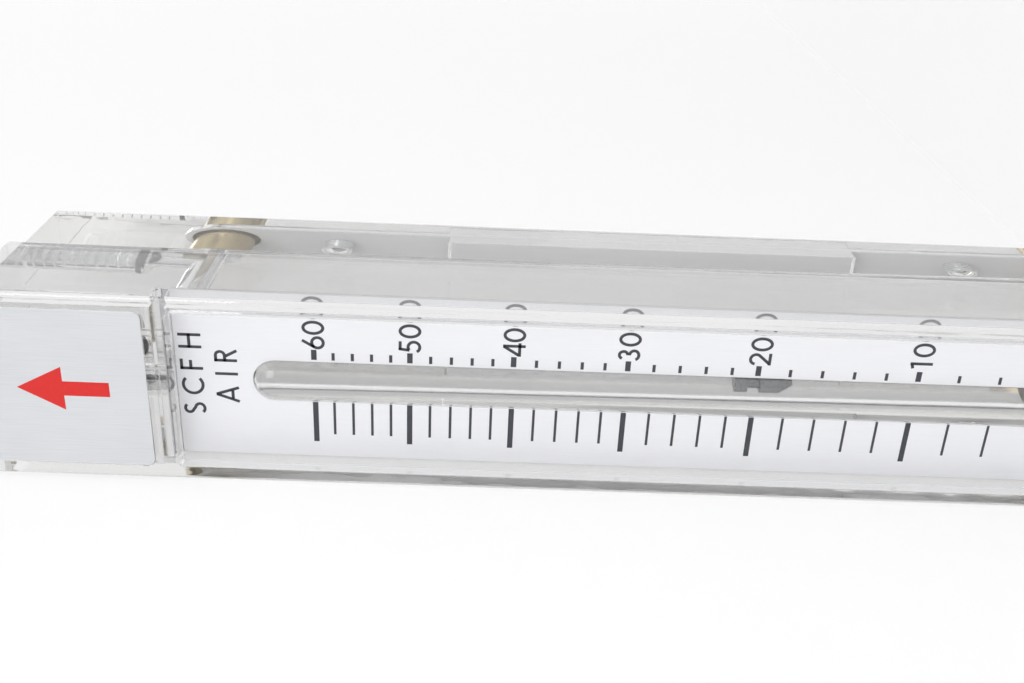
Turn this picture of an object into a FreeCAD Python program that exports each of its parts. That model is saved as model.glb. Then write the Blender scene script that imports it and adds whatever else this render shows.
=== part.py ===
"""Variable-area flow meter for a panel: clear moulded body with a tapered bore, clear slip-on
bezel, slotted aluminium scale, free float, and a steel backbone that carries the pipe
connections and the tapped mounting inserts.

Frame, in millimetres: +Z runs up the flow tube, the dial faces -Y, +X is to the reader's right.
The origin is the middle of the bounding box on the bottom end, which the meter can stand on.
"""
import FreeCAD, Part
import Sketcher
import os
import re

doc = FreeCAD.newDocument("flow_meter")
sheet = doc.addObject("Spreadsheet::Sheet", "sizes")

SIZES = [
    # bezel: the clear cover over the front of the body
    ("bezel_width", 38.1, "outside width"),
    ("bezel_height", 260.0, "outside height, end to end"),
    ("bezel_depth", 24.0, "front plane to back edge"),
    ("bezel_wall", 2.5, "side walls and end walls"),
    ("bezel_front", 2.5, "front wall behind the nameplates"),
    ("bezel_round", 0.9, "outer edge rounding"),
    ("frame_border", 2.9, "front rim beside the window and the nameplates"),
    ("window_end", 36.5, "end of the bezel to the window that shows the scale"),
    ("window_corner", 1.6, "corner radius of the window"),
    ("cross_wall", 2.6, "thickness of the wall at each end of the window"),
    # scale plate and nameplates
    ("plate_depth", 6.0, "front of the scale plate behind the front plane"),
    ("plate_thickness", 0.6, "scale plate"),
    ("plate_tuck", 1.3, "scale plate under each cross wall"),
    ("plate_gap", 0.15, "scale plate to bezel side wall"),
    ("nameplate_end", 1.5, "nameplate to the end of the bezel"),
    ("nameplate_inner", 4.0, "nameplate to the window"),
    ("nameplate_thickness", 0.5, "nameplate, flush in its recess"),
    ("nameplate_corner", 1.5, "corner radius of the nameplates"),
    ("nameplate_gap", 0.05, "nameplate to its recess, all round"),
    # flow body
    ("body_depth", 49.0, "front plane to the back face of the body"),
    ("body_gap", 0.05, "body to bezel, all round"),
    ("body_top_drop", 1.1, "body top below the bezel top"),
    ("rib_radius", 4.1, "half-round lens rib over the bore"),
    ("rib_depth", 6.9, "axis of the rib behind the front plane"),
    ("rib_end", 14.5, "window end to the round end of the rib"),
    ("rib_gap", 0.2, "rib to the slot in the scale plate"),
    # bore, float and stops
    ("bore_depth", 9.4, "axis of the bore behind the front plane"),
    ("bore_low_radius", 1.85, "bore at the lower float stop"),
    ("bore_high_radius", 2.6, "bore at the upper end of its taper"),
    ("inlet_radius", 1.3, "passage below the lower float stop"),
    ("float_radius", 1.5, "float head"),
    ("float_length", 11.4, "float"),
    ("float_head", 2.4, "upper collar of the float"),
    ("float_groove", 2.4, "groove below the upper collar"),
    ("float_groove_radius", 0.95, "bottom of the groove"),
    ("float_collar", 3.7, "lower collar of the float"),
    ("float_tail_radius", 0.4, "lower tip of the float"),
    ("float_below", 18.6, "middle of the stored float below the middle of the meter"),
    ("lower_stop_up", 9.6, "lower end of the rib to the upper face of the lower stop"),
    ("lower_stop_length", 6.0, "lower float stop"),
    ("lower_stop_fit", 0.02, "lower float stop to the bore"),
    ("stop_slot", 1.0, "width of the three flow slots in the lower stop"),
    ("stop_core", 0.8, "radius left inside those slots"),
    ("upper_stop_radius", 0.9, "rod that ends the float's travel"),
    ("upper_stop_in", 1.0, "tip of that rod below the upper end of the rib"),
    ("upper_stop_seat", 3.0, "rod held inside the tube plug"),
    # tube plug above the bore
    ("tube_plug_radius", 4.0, "threaded plug over the bore"),
    ("tube_seat", 5.5, "cross wall to the shoulder under the plug's O-ring"),
    ("tube_ring_section", 1.8, "section of its O-ring"),
    ("tube_ring_fit", 0.03, "O-ring to its seat"),
    # ports in the two ends, each closed by a threaded plug
    ("port_depth", 32.0, "axis of the ports behind the front plane"),
    ("port_radius", 6.8, "threaded plug of a port"),
    ("port_plug_length", 22.6, "that plug"),
    ("port_ring_section", 2.4, "section of its O-ring"),
    ("port_ring_fit", 0.03, "O-ring to its seat"),
    ("port_passage", 4.0, "radius of the passage behind the plug"),
    ("coin_slot", 2.0, "slot across a port plug, for a coin or a wide screwdriver"),
    ("coin_sink", 3.0, "depth of that slot"),
    ("plug_fit", 0.03, "plugs to their holes"),
    ("driver_slot", 1.2, "screwdriver slot in the tube plug"),
    ("driver_sink", 2.0, "depth of that slot"),
    # backbone and what it carries
    ("connection_end", 37.5, "end of the bezel to the axis of a pipe connection"),
    ("backbone_width", 18.0, "strip with full-round ends"),
    ("backbone_thickness", 3.2, "strip at its ends"),
    ("backbone_recess", 1.0, "strip sunk into the back of the body"),
    ("backbone_gap", 0.15, "strip to its recess, all round"),
    ("pad_inside", 24.0, "mounting insert to the thicker middle of the strip"),
    ("pad_rise", 3.5, "how much thicker the middle is"),
    ("pad_round", 0.8, "rounding of its ends"),
    ("boss_radius", 10.0, "pipe boss behind the strip"),
    ("boss_length", 8.0, "pipe boss"),
    ("boss_chamfer", 0.8, "edge of the pipe boss"),
    ("neck_radius", 7.4, "pipe connection through the strip"),
    ("neck_fit", 0.02, "that neck to its hole"),
    ("pipe_radius", 6.2, "quarter-inch pipe thread, mean wall"),
    ("pipe_depth", 10.5, "threaded length"),
    ("pipe_chamfer", 0.9, "mouth of the pipe thread"),
    ("spigot_radius", 6.3, "spigot in the body"),
    ("spigot_length", 13.2, "spigot in front of the strip"),
    ("spigot_end", 0.5, "room in front of the spigot"),
    ("spigot_fit", 0.1, "spigot to its socket"),
    ("flow_radius", 3.2, "passage through the spigot and the body"),
    ("groove_front", 1.2, "spigot end to its O-ring groove"),
    ("groove_sink", 1.6, "depth of that groove"),
    ("ring_section", 1.7, "section of the connection O-ring"),
    ("groove_play", 0.2, "groove wider than the O-ring"),
    ("insert_inside", 24.5, "pipe connection to the nearer mounting insert"),
    ("insert_radius", 3.2, "mounting insert"),
    ("insert_length", 4.0, "insert in front of the strip"),
    ("insert_fit", 0.02, "insert to its hole in the strip"),
    ("tapped_radius", 2.1, "number 10 thread in the insert"),
    ("tapped_chamfer", 0.4, "mouth of that thread"),
    ("drill_point", 1.3, "cone that ends the hole for an insert"),
    # cutters
    ("past", 1.0, "how far a cutter runs past the face that it opens"),
]
for row, (alias, value, note) in enumerate(SIZES, start=1):
    sheet.set(f"A{row}", alias)
    sheet.set(f"B{row}", str(value))
    sheet.set(f"C{row}", note)
    sheet.setAlias(f"B{row}", alias)
doc.recompute()


def size(alias):
    """Value of a named cell, for the few features that take no expression."""
    return float(sheet.get(alias))


ALIASES = {alias for alias, _, _ in SIZES}


def named(expression):
    """Write the aliases in an expression as references to the sheet."""
    def reference(word):
        return f"sizes.{word.group()}" if word.group() in ALIASES else word.group()
    return re.sub(r"[a-z_]+", reference, expression)


MIDDLE = "(bezel_height / 2)"
BACKBONE_FRONT = "(body_depth - backbone_recess)"
BACKBONE_BACK = f"({BACKBONE_FRONT} + backbone_thickness)"
FRONT = f"(-({BACKBONE_BACK} + boss_length) / 2)"
INNER_WIDTH = "(bezel_width - 2 * bezel_wall)"
BODY_WIDTH = f"({INNER_WIDTH} - 2 * body_gap)"
BODY_TOP = "(bezel_height - body_top_drop)"
CAP_TOP = "(bezel_height - bezel_wall - body_gap)"
CAP_LOW = "(bezel_wall + body_gap)"
WINDOW_HALF = "(bezel_height / 2 - window_end)"
RIB_HALF = f"({WINDOW_HALF} - rib_end)"
CONNECTION = "(bezel_height / 2 - connection_end)"
INSERT = f"({CONNECTION} - insert_inside)"
PAD_HALF = f"({INSERT} - pad_inside)"
ENDS = {"top": 1, "bottom": -1}
SAME = 1e-4  # millimetres: closer than this, two positions are the same
STOP_SLOTS = 3  # flow slots round the lower float stop


def deep(expression):
    """Y of a point that lies this far behind the front plane of the bezel."""
    return f"{FRONT} + {expression}"


def off_middle(distance, side):
    """Z of a point this far above (side 1) or below (side -1) the middle."""
    return f"{MIDDLE} + {side} * ({distance})"


def bind(thing, sizes=None, at=None, turn=None):
    """Bind an object's sizes and the place of its corner or centre to the sheet."""
    if turn is not None:
        thing.Placement.Rotation = turn
    for key, expression in (sizes or {}).items():
        thing.setExpression(key, named(expression))
    for axis, expression in zip("xyz", at or ()):
        thing.setExpression(f"Placement.Base.{axis}", named(expression))
    return thing


def block(name, low, high):
    """Box from its low corner to its high corner, each three expressions."""
    spans = [f"({b}) - ({a})" for a, b in zip(low, high)]
    thing = doc.addObject("Part::Box", name)
    return bind(thing, dict(zip(("Length", "Width", "Height"), spans)), low)


TOWARDS_BACK = FreeCAD.Rotation(FreeCAD.Vector(1, 0, 0), -90)


def rod(name, radius, low, high, x="0", y="0"):
    """Upright cylinder between two heights."""
    thing = doc.addObject("Part::Cylinder", name)
    return bind(thing, {"Radius": radius, "Height": f"({high}) - ({low})"}, (x, y, low))


def rod_back(name, radius, start, end, z):
    """Cylinder along +Y between two depths behind the front plane, on the centre line."""
    thing = doc.addObject("Part::Cylinder", name)
    spans = {"Radius": radius, "Height": f"({end}) - ({start})"}
    return bind(thing, spans, ("0", deep(start), z), TOWARDS_BACK)


def cone(name, low_radius, high_radius, low, high, y):
    """Upright cone between two heights."""
    thing = doc.addObject("Part::Cone", name)
    spans = {"Radius1": low_radius, "Radius2": high_radius, "Height": f"({high}) - ({low})"}
    return bind(thing, spans, ("0", y, low))


def cone_back(name, radius, start, end, z):
    """Cone along +Y that widens from a point to a radius, on the centre line."""
    thing = doc.addObject("Part::Cone", name)
    spans = {"Radius1": "0", "Radius2": radius, "Height": f"({end}) - ({start})"}
    return bind(thing, spans, ("0", deep(start), z), TOWARDS_BACK)


def ball(name, radius, y, z):
    thing = doc.addObject("Part::Sphere", name)
    return bind(thing, {"Radius": radius}, ("0", y, z))


def ring(name, section, outer_radius, y, z, turn=None):
    """O-ring: a torus whose outside has the given radius."""
    thing = doc.addObject("Part::Torus", name)
    spans = {"Radius1": f"{outer_radius} - {section} / 2", "Radius2": f"{section} / 2"}
    return bind(thing, spans, ("0", y, z), turn)


def fuse(name, pieces):
    thing = doc.addObject("Part::MultiFuse", name)
    thing.Shapes = pieces
    thing.Refine = True
    return thing


def cut(name, base, tools):
    """Base less one tool, or less several fused into one."""
    thing = doc.addObject("Part::Cut", name)
    thing.Base = base
    thing.Tool = tools[0] if len(tools) == 1 else fuse(name + "_tools", tools)
    thing.Refine = True
    return thing


def rounded(name, base, radius, wanted):
    """Fillet the edges of base for which wanted(edge) is true."""
    doc.recompute()
    thing = doc.addObject("Part::Fillet", name)
    thing.Base = base
    edges = base.Shape.Edges
    thing.Edges = [(n + 1, radius, radius) for n, edge in enumerate(edges) if wanted(edge)]
    return thing


def chamfered(name, base, width, wanted):
    """Chamfer the edges of base for which wanted(edge) is true."""
    doc.recompute()
    thing = doc.addObject("Part::Chamfer", name)
    thing.Base = base
    edges = base.Shape.Edges
    thing.Edges = [(n + 1, width, width) for n, edge in enumerate(edges) if wanted(edge)]
    return thing


def runs_back(edge):
    """True for a straight edge along Y."""
    box = edge.BoundBox
    return max(box.XLength, box.ZLength) < SAME


def circle_at(y, radius):
    """Test for a round edge in the plane Y = y."""
    def wanted(edge):
        if not isinstance(edge.Curve, Part.Circle):
            return False
        return abs(edge.Curve.Center.y - y) < SAME and abs(edge.Curve.Radius - radius) < SAME
    return wanted


SUBPARTS = []


def subpart(thing, node):
    """Give a finished piece its node name and list it for export."""
    thing.Label = node
    SUBPARTS.append(thing)
    return thing


# --- bezel --------------------------------------------------------------------------------
def make_bezel():
    """Five-sided clear cover: side, end and front walls, a window with a cross wall at each
    end, and a flush recess for each nameplate."""
    half = "bezel_width / 2"
    outer = block("bezel_outer", (f"-{half}", deep("0"), "0"),
                  (half, deep("bezel_depth"), "bezel_height"))
    doc.recompute()
    front = outer.Shape.BoundBox.YMin

    def outside(edge):
        return runs_back(edge) or abs(edge.BoundBox.YMax - front) < SAME

    soft = rounded("bezel_soft", outer, size("bezel_round"), outside)
    room = f"{INNER_WIDTH} / 2"
    window = "bezel_width / 2 - frame_border"
    low, high = off_middle(WINDOW_HALF, -1), off_middle(WINDOW_HALF, 1)
    opening = block("window_block", (f"-({window})", deep("(-past)"), low),
                    (window, deep("(bezel_front + past)"), high))
    tools = [rounded("window", opening, size("window_corner"), runs_back)]
    tools.append(block("room_scale", (f"-({room})", deep("bezel_front"), low),
                       (room, deep("plate_depth"), high)))
    tools.append(block("room_behind", (f"-({room})", deep("plate_depth"), "bezel_wall"),
                       (room, deep("(bezel_depth + past)"), "bezel_height - bezel_wall")))
    for end, side in ENDS.items():
        wall = off_middle(f"({WINDOW_HALF} + cross_wall)", side)
        cap = f"{MIDDLE} + {side} * ({MIDDLE} - bezel_wall)"
        low, high = (wall, cap) if side > 0 else (cap, wall)
        tools.append(block(f"room_{end}", (f"-({room})", deep("bezel_front"), low),
                           (room, deep("(plate_depth + past)"), high)))
        tools.append(plate_block(f"{end}_recess", side, "nameplate_gap"))
    subpart(cut("bezel_shell", soft, tools), "bezel")


def plate_block(name, side, gap):
    """Nameplate, or with a gap added all round the recess for it."""
    reach = f"bezel_width / 2 - frame_border - nameplate_gap + {gap}"
    outer = f"{MIDDLE} + {side} * ({MIDDLE} - nameplate_end + {gap})"
    inner = f"{MIDDLE} + {side} * ({WINDOW_HALF} + nameplate_inner - {gap})"
    low, high = (inner, outer) if side > 0 else (outer, inner)
    plain = block(name + "_block", (f"-({reach})", deep("0"), low),
                  (reach, deep("nameplate_thickness"), high))
    return rounded(name, plain, size("nameplate_corner"), runs_back)


def make_nameplates():
    for end, side in ENDS.items():
        subpart(plate_block(f"{end}_plate", side, "0"), f"{end}_nameplate")


# --- scale plate --------------------------------------------------------------------------
def make_scale_plate():
    """Sheet aluminium with a round-ended slot that lets the lens rib through. Drawn as a
    sketch on the XZ plane and padded by the sheet's thickness."""
    body = doc.addObject("PartDesign::Body", "scale_plate_body")
    plane = next(f for f in body.Origin.OriginFeatures if f.Role == "XZ_Plane")
    sketch = body.newObject("Sketcher::SketchObject", "scale_outline")
    sketch.AttachmentSupport = [(plane, "")]
    sketch.MapMode = "FlatFace"
    width = size("bezel_width") - 2 * size("bezel_wall") - 2 * size("plate_gap")
    height = size("bezel_height") - 2 * size("window_end") + 2 * size("plate_tuck")
    corners = [(-width / 2, -height / 2), (width / 2, -height / 2),
               (width / 2, height / 2), (-width / 2, height / 2)]
    points = [FreeCAD.Vector(x, z, 0) for x, z in corners]
    for start, end in zip(points, points[1:] + points[:1]):
        sketch.addGeometry(Part.LineSegment(start, end), False)
    for n in range(4):
        sketch.addConstraint(Sketcher.Constraint("Coincident", n, 2, (n + 1) % 4, 1))
    for n, kind in enumerate(("Horizontal", "Vertical", "Horizontal", "Vertical")):
        sketch.addConstraint(Sketcher.Constraint(kind, n))
    sketch.addConstraint(Sketcher.Constraint("Symmetric", 0, 1, 1, 2, -1, 1))
    across = sketch.addConstraint(Sketcher.Constraint("DistanceX", 0, 1, 0, 2, width))
    along = sketch.addConstraint(Sketcher.Constraint("DistanceY", 1, 1, 1, 2, height))
    sketch.setExpression(f"Constraints[{across}]", named(f"{INNER_WIDTH} - 2 * plate_gap"))
    sketch.setExpression(f"Constraints[{along}]", named(f"2 * {WINDOW_HALF} + 2 * plate_tuck"))
    pad = body.newObject("PartDesign::Pad", "scale_sheet")
    pad.Profile = sketch
    pad.Reversed = True
    pad.setExpression("Length", named("plate_thickness"))
    bind(body, at=("0", deep("plate_depth"), MIDDLE))
    slot_radius = "rib_radius + rib_gap"
    reach = f"({RIB_HALF} + rib_gap)"
    straight = f"({reach} - ({slot_radius}))"
    start, stop = "(plate_depth - past)", "(plate_depth + plate_thickness + past)"
    slot = [block("slot_straight", (f"-({slot_radius})", deep(start), off_middle(straight, -1)),
                  (slot_radius, deep(stop), off_middle(straight, 1)))]
    for end, side in ENDS.items():
        slot.append(rod_back(f"slot_{end}", slot_radius, start, stop, off_middle(straight, side)))
    subpart(cut("scale_plate_cut", body, slot), "scale_plate")


# --- flow body ----------------------------------------------------------------------------
def make_flow_body():
    """Clear block: rear part over the full height, front part inside the bezel, caps that
    fill the bezel behind the nameplates, and the half-round rib over the bore."""
    half = f"({BODY_WIDTH}) / 2"
    behind = "(bezel_depth + body_gap)"
    face = "(plate_depth + plate_thickness)"
    solids = [block("rear_block", (f"-{half}", deep(behind), "0"),
                    (half, deep("body_depth"), BODY_TOP)),
              block("front_block", (f"-{half}", deep(face), CAP_LOW), (half, deep(behind), CAP_TOP))]
    for end, side in ENDS.items():
        wall = off_middle(f"({WINDOW_HALF} + cross_wall + body_gap)", side)
        low, high = (wall, CAP_TOP) if side > 0 else (CAP_LOW, wall)
        solids.append(block(f"cap_{end}", (f"-{half}", deep("(bezel_front + body_gap)"), low),
                            (half, deep(face), high)))
    straight = f"({RIB_HALF} - rib_radius)"
    solids.append(rod("rib_rod", "rib_radius", off_middle(straight, -1), off_middle(straight, 1),
                      y=deep("rib_depth")))
    for end, side in ENDS.items():
        solids.append(ball(f"rib_{end}", "rib_radius", deep("rib_depth"), off_middle(straight, side)))
    base = fuse("body_solid", solids)
    subpart(cut("body_bored", base, bore_tools() + port_tools() + backbone_tools()), "flow_body")


SEAT_LOW = f"({MIDDLE} + {WINDOW_HALF} + cross_wall + tube_seat)"
PLUG_LOW = f"({SEAT_LOW} + tube_ring_section + tube_ring_fit)"
STOP_TOP = f"({MIDDLE} - {RIB_HALF} + lower_stop_up)"
STOP_LOW = f"({STOP_TOP} - lower_stop_length)"
STOP_TIP = f"({MIDDLE} + {RIB_HALF} - upper_stop_in)"


def bore_tools():
    """Tapered bore between the stops, its straight run up to the tube plug, the plug's own
    hole, the narrow inlet below, and the cross passages back to the pipe sockets."""
    y = deep("bore_depth")
    tools = [cone("taper", "bore_low_radius", "bore_high_radius", STOP_TOP, STOP_TIP, y),
             rod("stop_seat", "bore_low_radius", STOP_LOW, STOP_TOP, y=y),
             rod("inlet", "inlet_radius", off_middle(CONNECTION, -1), STOP_LOW, y=y),
             rod("outlet", "bore_high_radius", STOP_TIP, SEAT_LOW, y=y),
             rod("tube_plug_hole", "tube_plug_radius + plug_fit", SEAT_LOW, f"{CAP_TOP} + past", y=y)]
    for end, side in ENDS.items():
        tools.append(rod_back(f"cross_{end}", "flow_radius", "bore_depth", BACKBONE_FRONT,
                              off_middle(CONNECTION, side)))
        tools.append(ball(f"cross_end_{end}", "flow_radius", y, off_middle(CONNECTION, side)))
    return tools


def port_end(side):
    """Height of the end face that a port opens in."""
    return BODY_TOP if side > 0 else "0"


def port_tools():
    """Plug hole in each end, and the passage behind it down to the cross passage."""
    tools = []
    y = deep("port_depth")
    for end, side in ENDS.items():
        mouth = port_end(side)
        reach = "(port_plug_length + port_ring_section + port_ring_fit)"
        seat = f"{mouth} - {side} * {reach}"
        outer = f"{mouth} + {side} * past"
        low, high = (seat, outer) if side > 0 else (outer, seat)
        tools.append(rod(f"port_hole_{end}", "port_radius + plug_fit", low, high, y=y))
        joint = off_middle(CONNECTION, side)
        low, high = (joint, seat) if side > 0 else (seat, joint)
        tools.append(rod(f"port_passage_{end}", "port_passage", low, high, y=y))
    return tools


def backbone_tools():
    """Recess for the strip, deeper for its thick middle, with the sockets for the pipe
    spigots and the holes for the mounting inserts, each with its drill point."""
    tools = strip("recess", "backbone_gap", BACKBONE_FRONT, "(body_depth + past)")
    half = "(backbone_width / 2 + backbone_gap)"
    reach = f"({PAD_HALF} + backbone_gap)"
    start = f"({BACKBONE_FRONT} - pad_rise)"
    tools.append(block("recess_pad", (f"-{half}", deep(start), off_middle(reach, -1)),
                       (half, deep("body_depth"), off_middle(reach, 1))))
    for end, side in ENDS.items():
        tools.append(rod_back(f"socket_{end}", "spigot_radius + spigot_fit",
                              f"({BACKBONE_FRONT} - spigot_length - spigot_end)",
                              "body_depth", off_middle(CONNECTION, side)))
        bottom = f"({BACKBONE_FRONT} - insert_length)"
        tools.append(rod_back(f"insert_room_{end}", "insert_radius + insert_fit", bottom,
                              "body_depth", off_middle(INSERT, side)))
        tools.append(cone_back(f"drill_point_{end}", "tapped_radius", f"({bottom} - drill_point)",
                               bottom, off_middle(INSERT, side)))
    return tools


# --- backbone -----------------------------------------------------------------------------
def strip(name, gap, start, end):
    """Straight part and two round ends of the strip, widened by a gap."""
    radius = f"(backbone_width / 2 + {gap})"
    pieces = [block(f"{name}_straight", (f"-{radius}", deep(start), off_middle(CONNECTION, -1)),
                    (radius, deep(end), off_middle(CONNECTION, 1)))]
    for which, side in ENDS.items():
        pieces.append(rod_back(f"{name}_{which}", radius, start, end, off_middle(CONNECTION, side)))
    return pieces


def make_backbone():
    """Steel strip with full-round ends and a thicker middle, drilled for the two pipe
    connections and the two mounting inserts."""
    half = "(backbone_width / 2)"
    front, inside = f"({BACKBONE_FRONT} - pad_rise)", f"({BACKBONE_FRONT} + backbone_thickness / 2)"
    raised = block("pad_block", (f"-{half}", deep(front), off_middle(PAD_HALF, -1)),
                   (half, deep(inside), off_middle(PAD_HALF, 1)))
    doc.recompute()
    face = raised.Shape.BoundBox.YMin

    def long_ends(edge):
        box = edge.BoundBox
        return box.YMax - face < SAME and box.XLength > SAME

    pad = rounded("pad", raised, size("pad_round"), long_ends)
    base = fuse("strip", strip("strip", "0", BACKBONE_FRONT, BACKBONE_BACK) + [pad])
    start, stop = f"({BACKBONE_FRONT} - past)", f"({BACKBONE_BACK} + past)"
    tools = []
    for end, side in ENDS.items():
        tools.append(rod_back(f"neck_hole_{end}", "neck_radius + neck_fit", start, stop,
                              off_middle(CONNECTION, side)))
        tools.append(rod_back(f"insert_hole_{end}", "insert_radius + insert_fit", start, stop,
                              off_middle(INSERT, side)))
    subpart(cut("backbone_drilled", base, tools), "backbone")


def make_pipe_connection(end, side):
    """Turned steel connection: boss behind the strip, neck through it and spigot into the
    body, with a pipe thread, a smaller passage and an O-ring groove."""
    z = off_middle(CONNECTION, side)
    tip = f"({BACKBONE_FRONT} - spigot_length)"
    back = f"({BACKBONE_BACK} + boss_length)"
    base = fuse(f"{end}_turned", [
        rod_back(f"{end}_boss", "boss_radius", BACKBONE_BACK, back, z),
        rod_back(f"{end}_neck", "neck_radius", BACKBONE_FRONT, BACKBONE_BACK, z),
        rod_back(f"{end}_spigot", "spigot_radius", tip, BACKBONE_FRONT, z)])
    groove = f"({tip} + groove_front)"
    groove_end = f"({groove} + ring_section + groove_play)"
    core = rod_back(f"{end}_groove_core", "spigot_radius - groove_sink", groove, groove_end, z)
    round_it = rod_back(f"{end}_groove_round", "spigot_radius + past", groove, groove_end, z)
    tools = [cut(f"{end}_groove", round_it, [core]),
             rod_back(f"{end}_flow", "flow_radius", f"({tip} - past)", back, z),
             rod_back(f"{end}_thread", "pipe_radius", f"({back} - pipe_depth)", f"({back} + past)", z)]
    bored = cut(f"{end}_bored", base, tools)
    doc.recompute()
    y = bored.Shape.BoundBox.YMax
    mouth = chamfered(f"{end}_mouth", bored, size("pipe_chamfer"), circle_at(y, size("pipe_radius")))
    rim = chamfered(f"{end}_rim", mouth, size("boss_chamfer"), circle_at(y, size("boss_radius")))
    subpart(rim, f"{end}_pipe_connection")
    seat = deep(f"({groove} + (ring_section + groove_play) / 2)")
    outer = "(spigot_radius + spigot_fit)"
    seal = ring(f"{end}_seal", "ring_section", outer, seat, z, TOWARDS_BACK)
    subpart(seal, f"{end}_connection_o_ring")


def make_mounting_insert(end, side):
    """Round threaded bush pressed into the strip, tapped right through."""
    z = off_middle(INSERT, side)
    start = f"({BACKBONE_FRONT} - insert_length)"
    bush = rod_back(f"{end}_bush", "insert_radius", start, BACKBONE_BACK, z)
    tapped = rod_back(f"{end}_tapped", "tapped_radius", f"({start} - past)",
                      f"({BACKBONE_BACK} + past)", z)
    hollow = cut(f"{end}_hollow", bush, [tapped])
    doc.recompute()
    box = hollow.Shape.BoundBox
    radius = size("tapped_radius")
    front = circle_at(box.YMin, radius)
    back = circle_at(box.YMax, radius)
    mouths = chamfered(f"{end}_insert", hollow, size("tapped_chamfer"),
                       lambda edge: front(edge) or back(edge))
    subpart(mouths, f"{end}_mounting_insert")


# --- plugs --------------------------------------------------------------------------------
def make_port_plug(end, side):
    """Round plug, flush with the end face, with a wide slot across it; its O-ring sits on the
    shoulder behind it."""
    mouth = port_end(side)
    inner = f"{mouth} - {side} * port_plug_length"
    low, high = (inner, mouth) if side > 0 else (mouth, inner)
    y = deep("port_depth")
    plug = rod(f"{end}_plug", "port_radius", low, high, y=y)
    sunk = f"{mouth} - {side} * coin_sink"
    outer = f"{mouth} + {side} * past"
    low, high = (sunk, outer) if side > 0 else (outer, sunk)
    reach = "(port_radius + past)"
    slot = block(f"{end}_coin", (f"-{reach}", deep("(port_depth - coin_slot / 2)"), low),
                 (reach, deep("(port_depth + coin_slot / 2)"), high))
    subpart(cut(f"{end}_plug_slotted", plug, [slot]), f"{end}_port_plug")
    seat = f"{inner} - {side} * (port_ring_section / 2 + port_ring_fit / 2)"
    subpart(ring(f"{end}_port_seal", "port_ring_section", "port_radius", y, seat), f"{end}_port_o_ring")


def make_tube_plug():
    """Plug that closes the bore under the top of the bezel, its O-ring, and the rod in its
    lower face that ends the float's travel."""
    y = deep("bore_depth")
    plug = rod("tube_plug_rod", "tube_plug_radius", PLUG_LOW, CAP_TOP, y=y)
    half = "driver_slot / 2"
    reach = "(tube_plug_radius + past)"
    slot = block("driver", (f"-{reach}", deep(f"(bore_depth - {half})"), f"{CAP_TOP} - driver_sink"),
                 (reach, deep(f"(bore_depth + {half})"), f"{CAP_TOP} + past"))
    seat = rod("rod_seat", "upper_stop_radius", f"{PLUG_LOW} - past",
               f"{PLUG_LOW} + upper_stop_seat", y=y)
    subpart(cut("tube_plug_cut", plug, [slot, seat]), "tube_plug")
    middle = f"{PLUG_LOW} - (tube_ring_section + tube_ring_fit) / 2"
    subpart(ring("tube_seal", "tube_ring_section", "tube_plug_radius", y, middle), "tube_plug_o_ring")
    stop = rod("stop_rod", "upper_stop_radius", STOP_TIP, f"{PLUG_LOW} + upper_stop_seat", y=y)
    subpart(stop, "upper_float_stop")


# --- float and lower stop -----------------------------------------------------------------
def make_lower_stop():
    """Short cylinder on the step at the foot of the bore, with three slots for the flow."""
    y = deep("bore_depth")
    solid = rod("stop_solid", "bore_low_radius - lower_stop_fit", STOP_LOW, STOP_TOP, y=y)
    slots = []
    for n in range(STOP_SLOTS):
        slot = doc.addObject("Part::Box", f"stop_slot_{n}")
        angle = 360 * n / STOP_SLOTS
        spans = {"Length": "bore_low_radius", "Width": "stop_slot",
                 "Height": "lower_stop_length + 2 * past"}
        x = f"stop_core * cos({angle}) + stop_slot / 2 * sin({angle})"
        across = f"(stop_core * sin({angle}) - stop_slot / 2 * cos({angle}))"
        turn = FreeCAD.Rotation(FreeCAD.Vector(0, 0, 1), angle)
        slots.append(bind(slot, spans, (x, f"{y} + {across}", f"{STOP_LOW} - past"), turn))
    subpart(cut("stop_slotted", solid, slots), "lower_float_stop")


def make_float():
    """Turned metal float: two collars with a groove between them over a tapered tail."""
    y = deep("bore_depth")
    top = f"({MIDDLE} - float_below + float_length / 2)"
    head = f"({top} - float_head)"
    groove = f"({head} - float_groove)"
    collar = f"({groove} - float_collar)"
    foot = f"({top} - float_length)"
    pieces = [rod("float_upper", "float_radius", head, top, y=y),
              rod("float_waist", "float_groove_radius", groove, head, y=y),
              rod("float_lower", "float_radius", collar, groove, y=y),
              cone("float_tail", "float_tail_radius", "float_radius", foot, collar, y)]
    subpart(fuse("float_turned", pieces), "float")


make_flow_body()
make_bezel()
make_scale_plate()
make_nameplates()
make_backbone()
for end, side in ENDS.items():
    make_pipe_connection(end, side)
    make_mounting_insert(end, side)
    make_port_plug(end, side)
make_tube_plug()
make_lower_stop()
make_float()
doc.recompute()

for thing in doc.Objects:
    if "Invalid" in thing.State or "Error" in thing.State:
        raise RuntimeError(f"{thing.Name} did not build: {thing.State}")
for thing in SUBPARTS:
    if thing.Shape.isNull() or not thing.Shape.isValid():
        raise RuntimeError(f"{thing.Label} has no valid shape")

os.makedirs("parts", exist_ok=True)
for thing in SUBPARTS:
    thing.Shape.exportStep(f"parts/{thing.Label}.step")
    box = thing.Shape.BoundBox
    print(f"{thing.Label:26s} {len(thing.Shape.Solids)} solid {thing.Shape.Volume:10.2f} mm3  "
          f"x {box.XMin:7.2f} {box.XMax:7.2f}  y {box.YMin:7.2f} {box.YMax:7.2f}  "
          f"z {box.ZMin:7.2f} {box.ZMax:7.2f}")
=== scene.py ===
# %% [markdown]
# A variable-area flow meter, dressed and lit in Blender.
#
# The meter is a clear plastic block with a tapered bore and a float in it, a clear bezel over
# its front, a printed aluminium scale, and a metal backbone behind. The solids come from the
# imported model, which fixes every size and place. This script adds finishes, print, threads,
# light and a camera.

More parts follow.
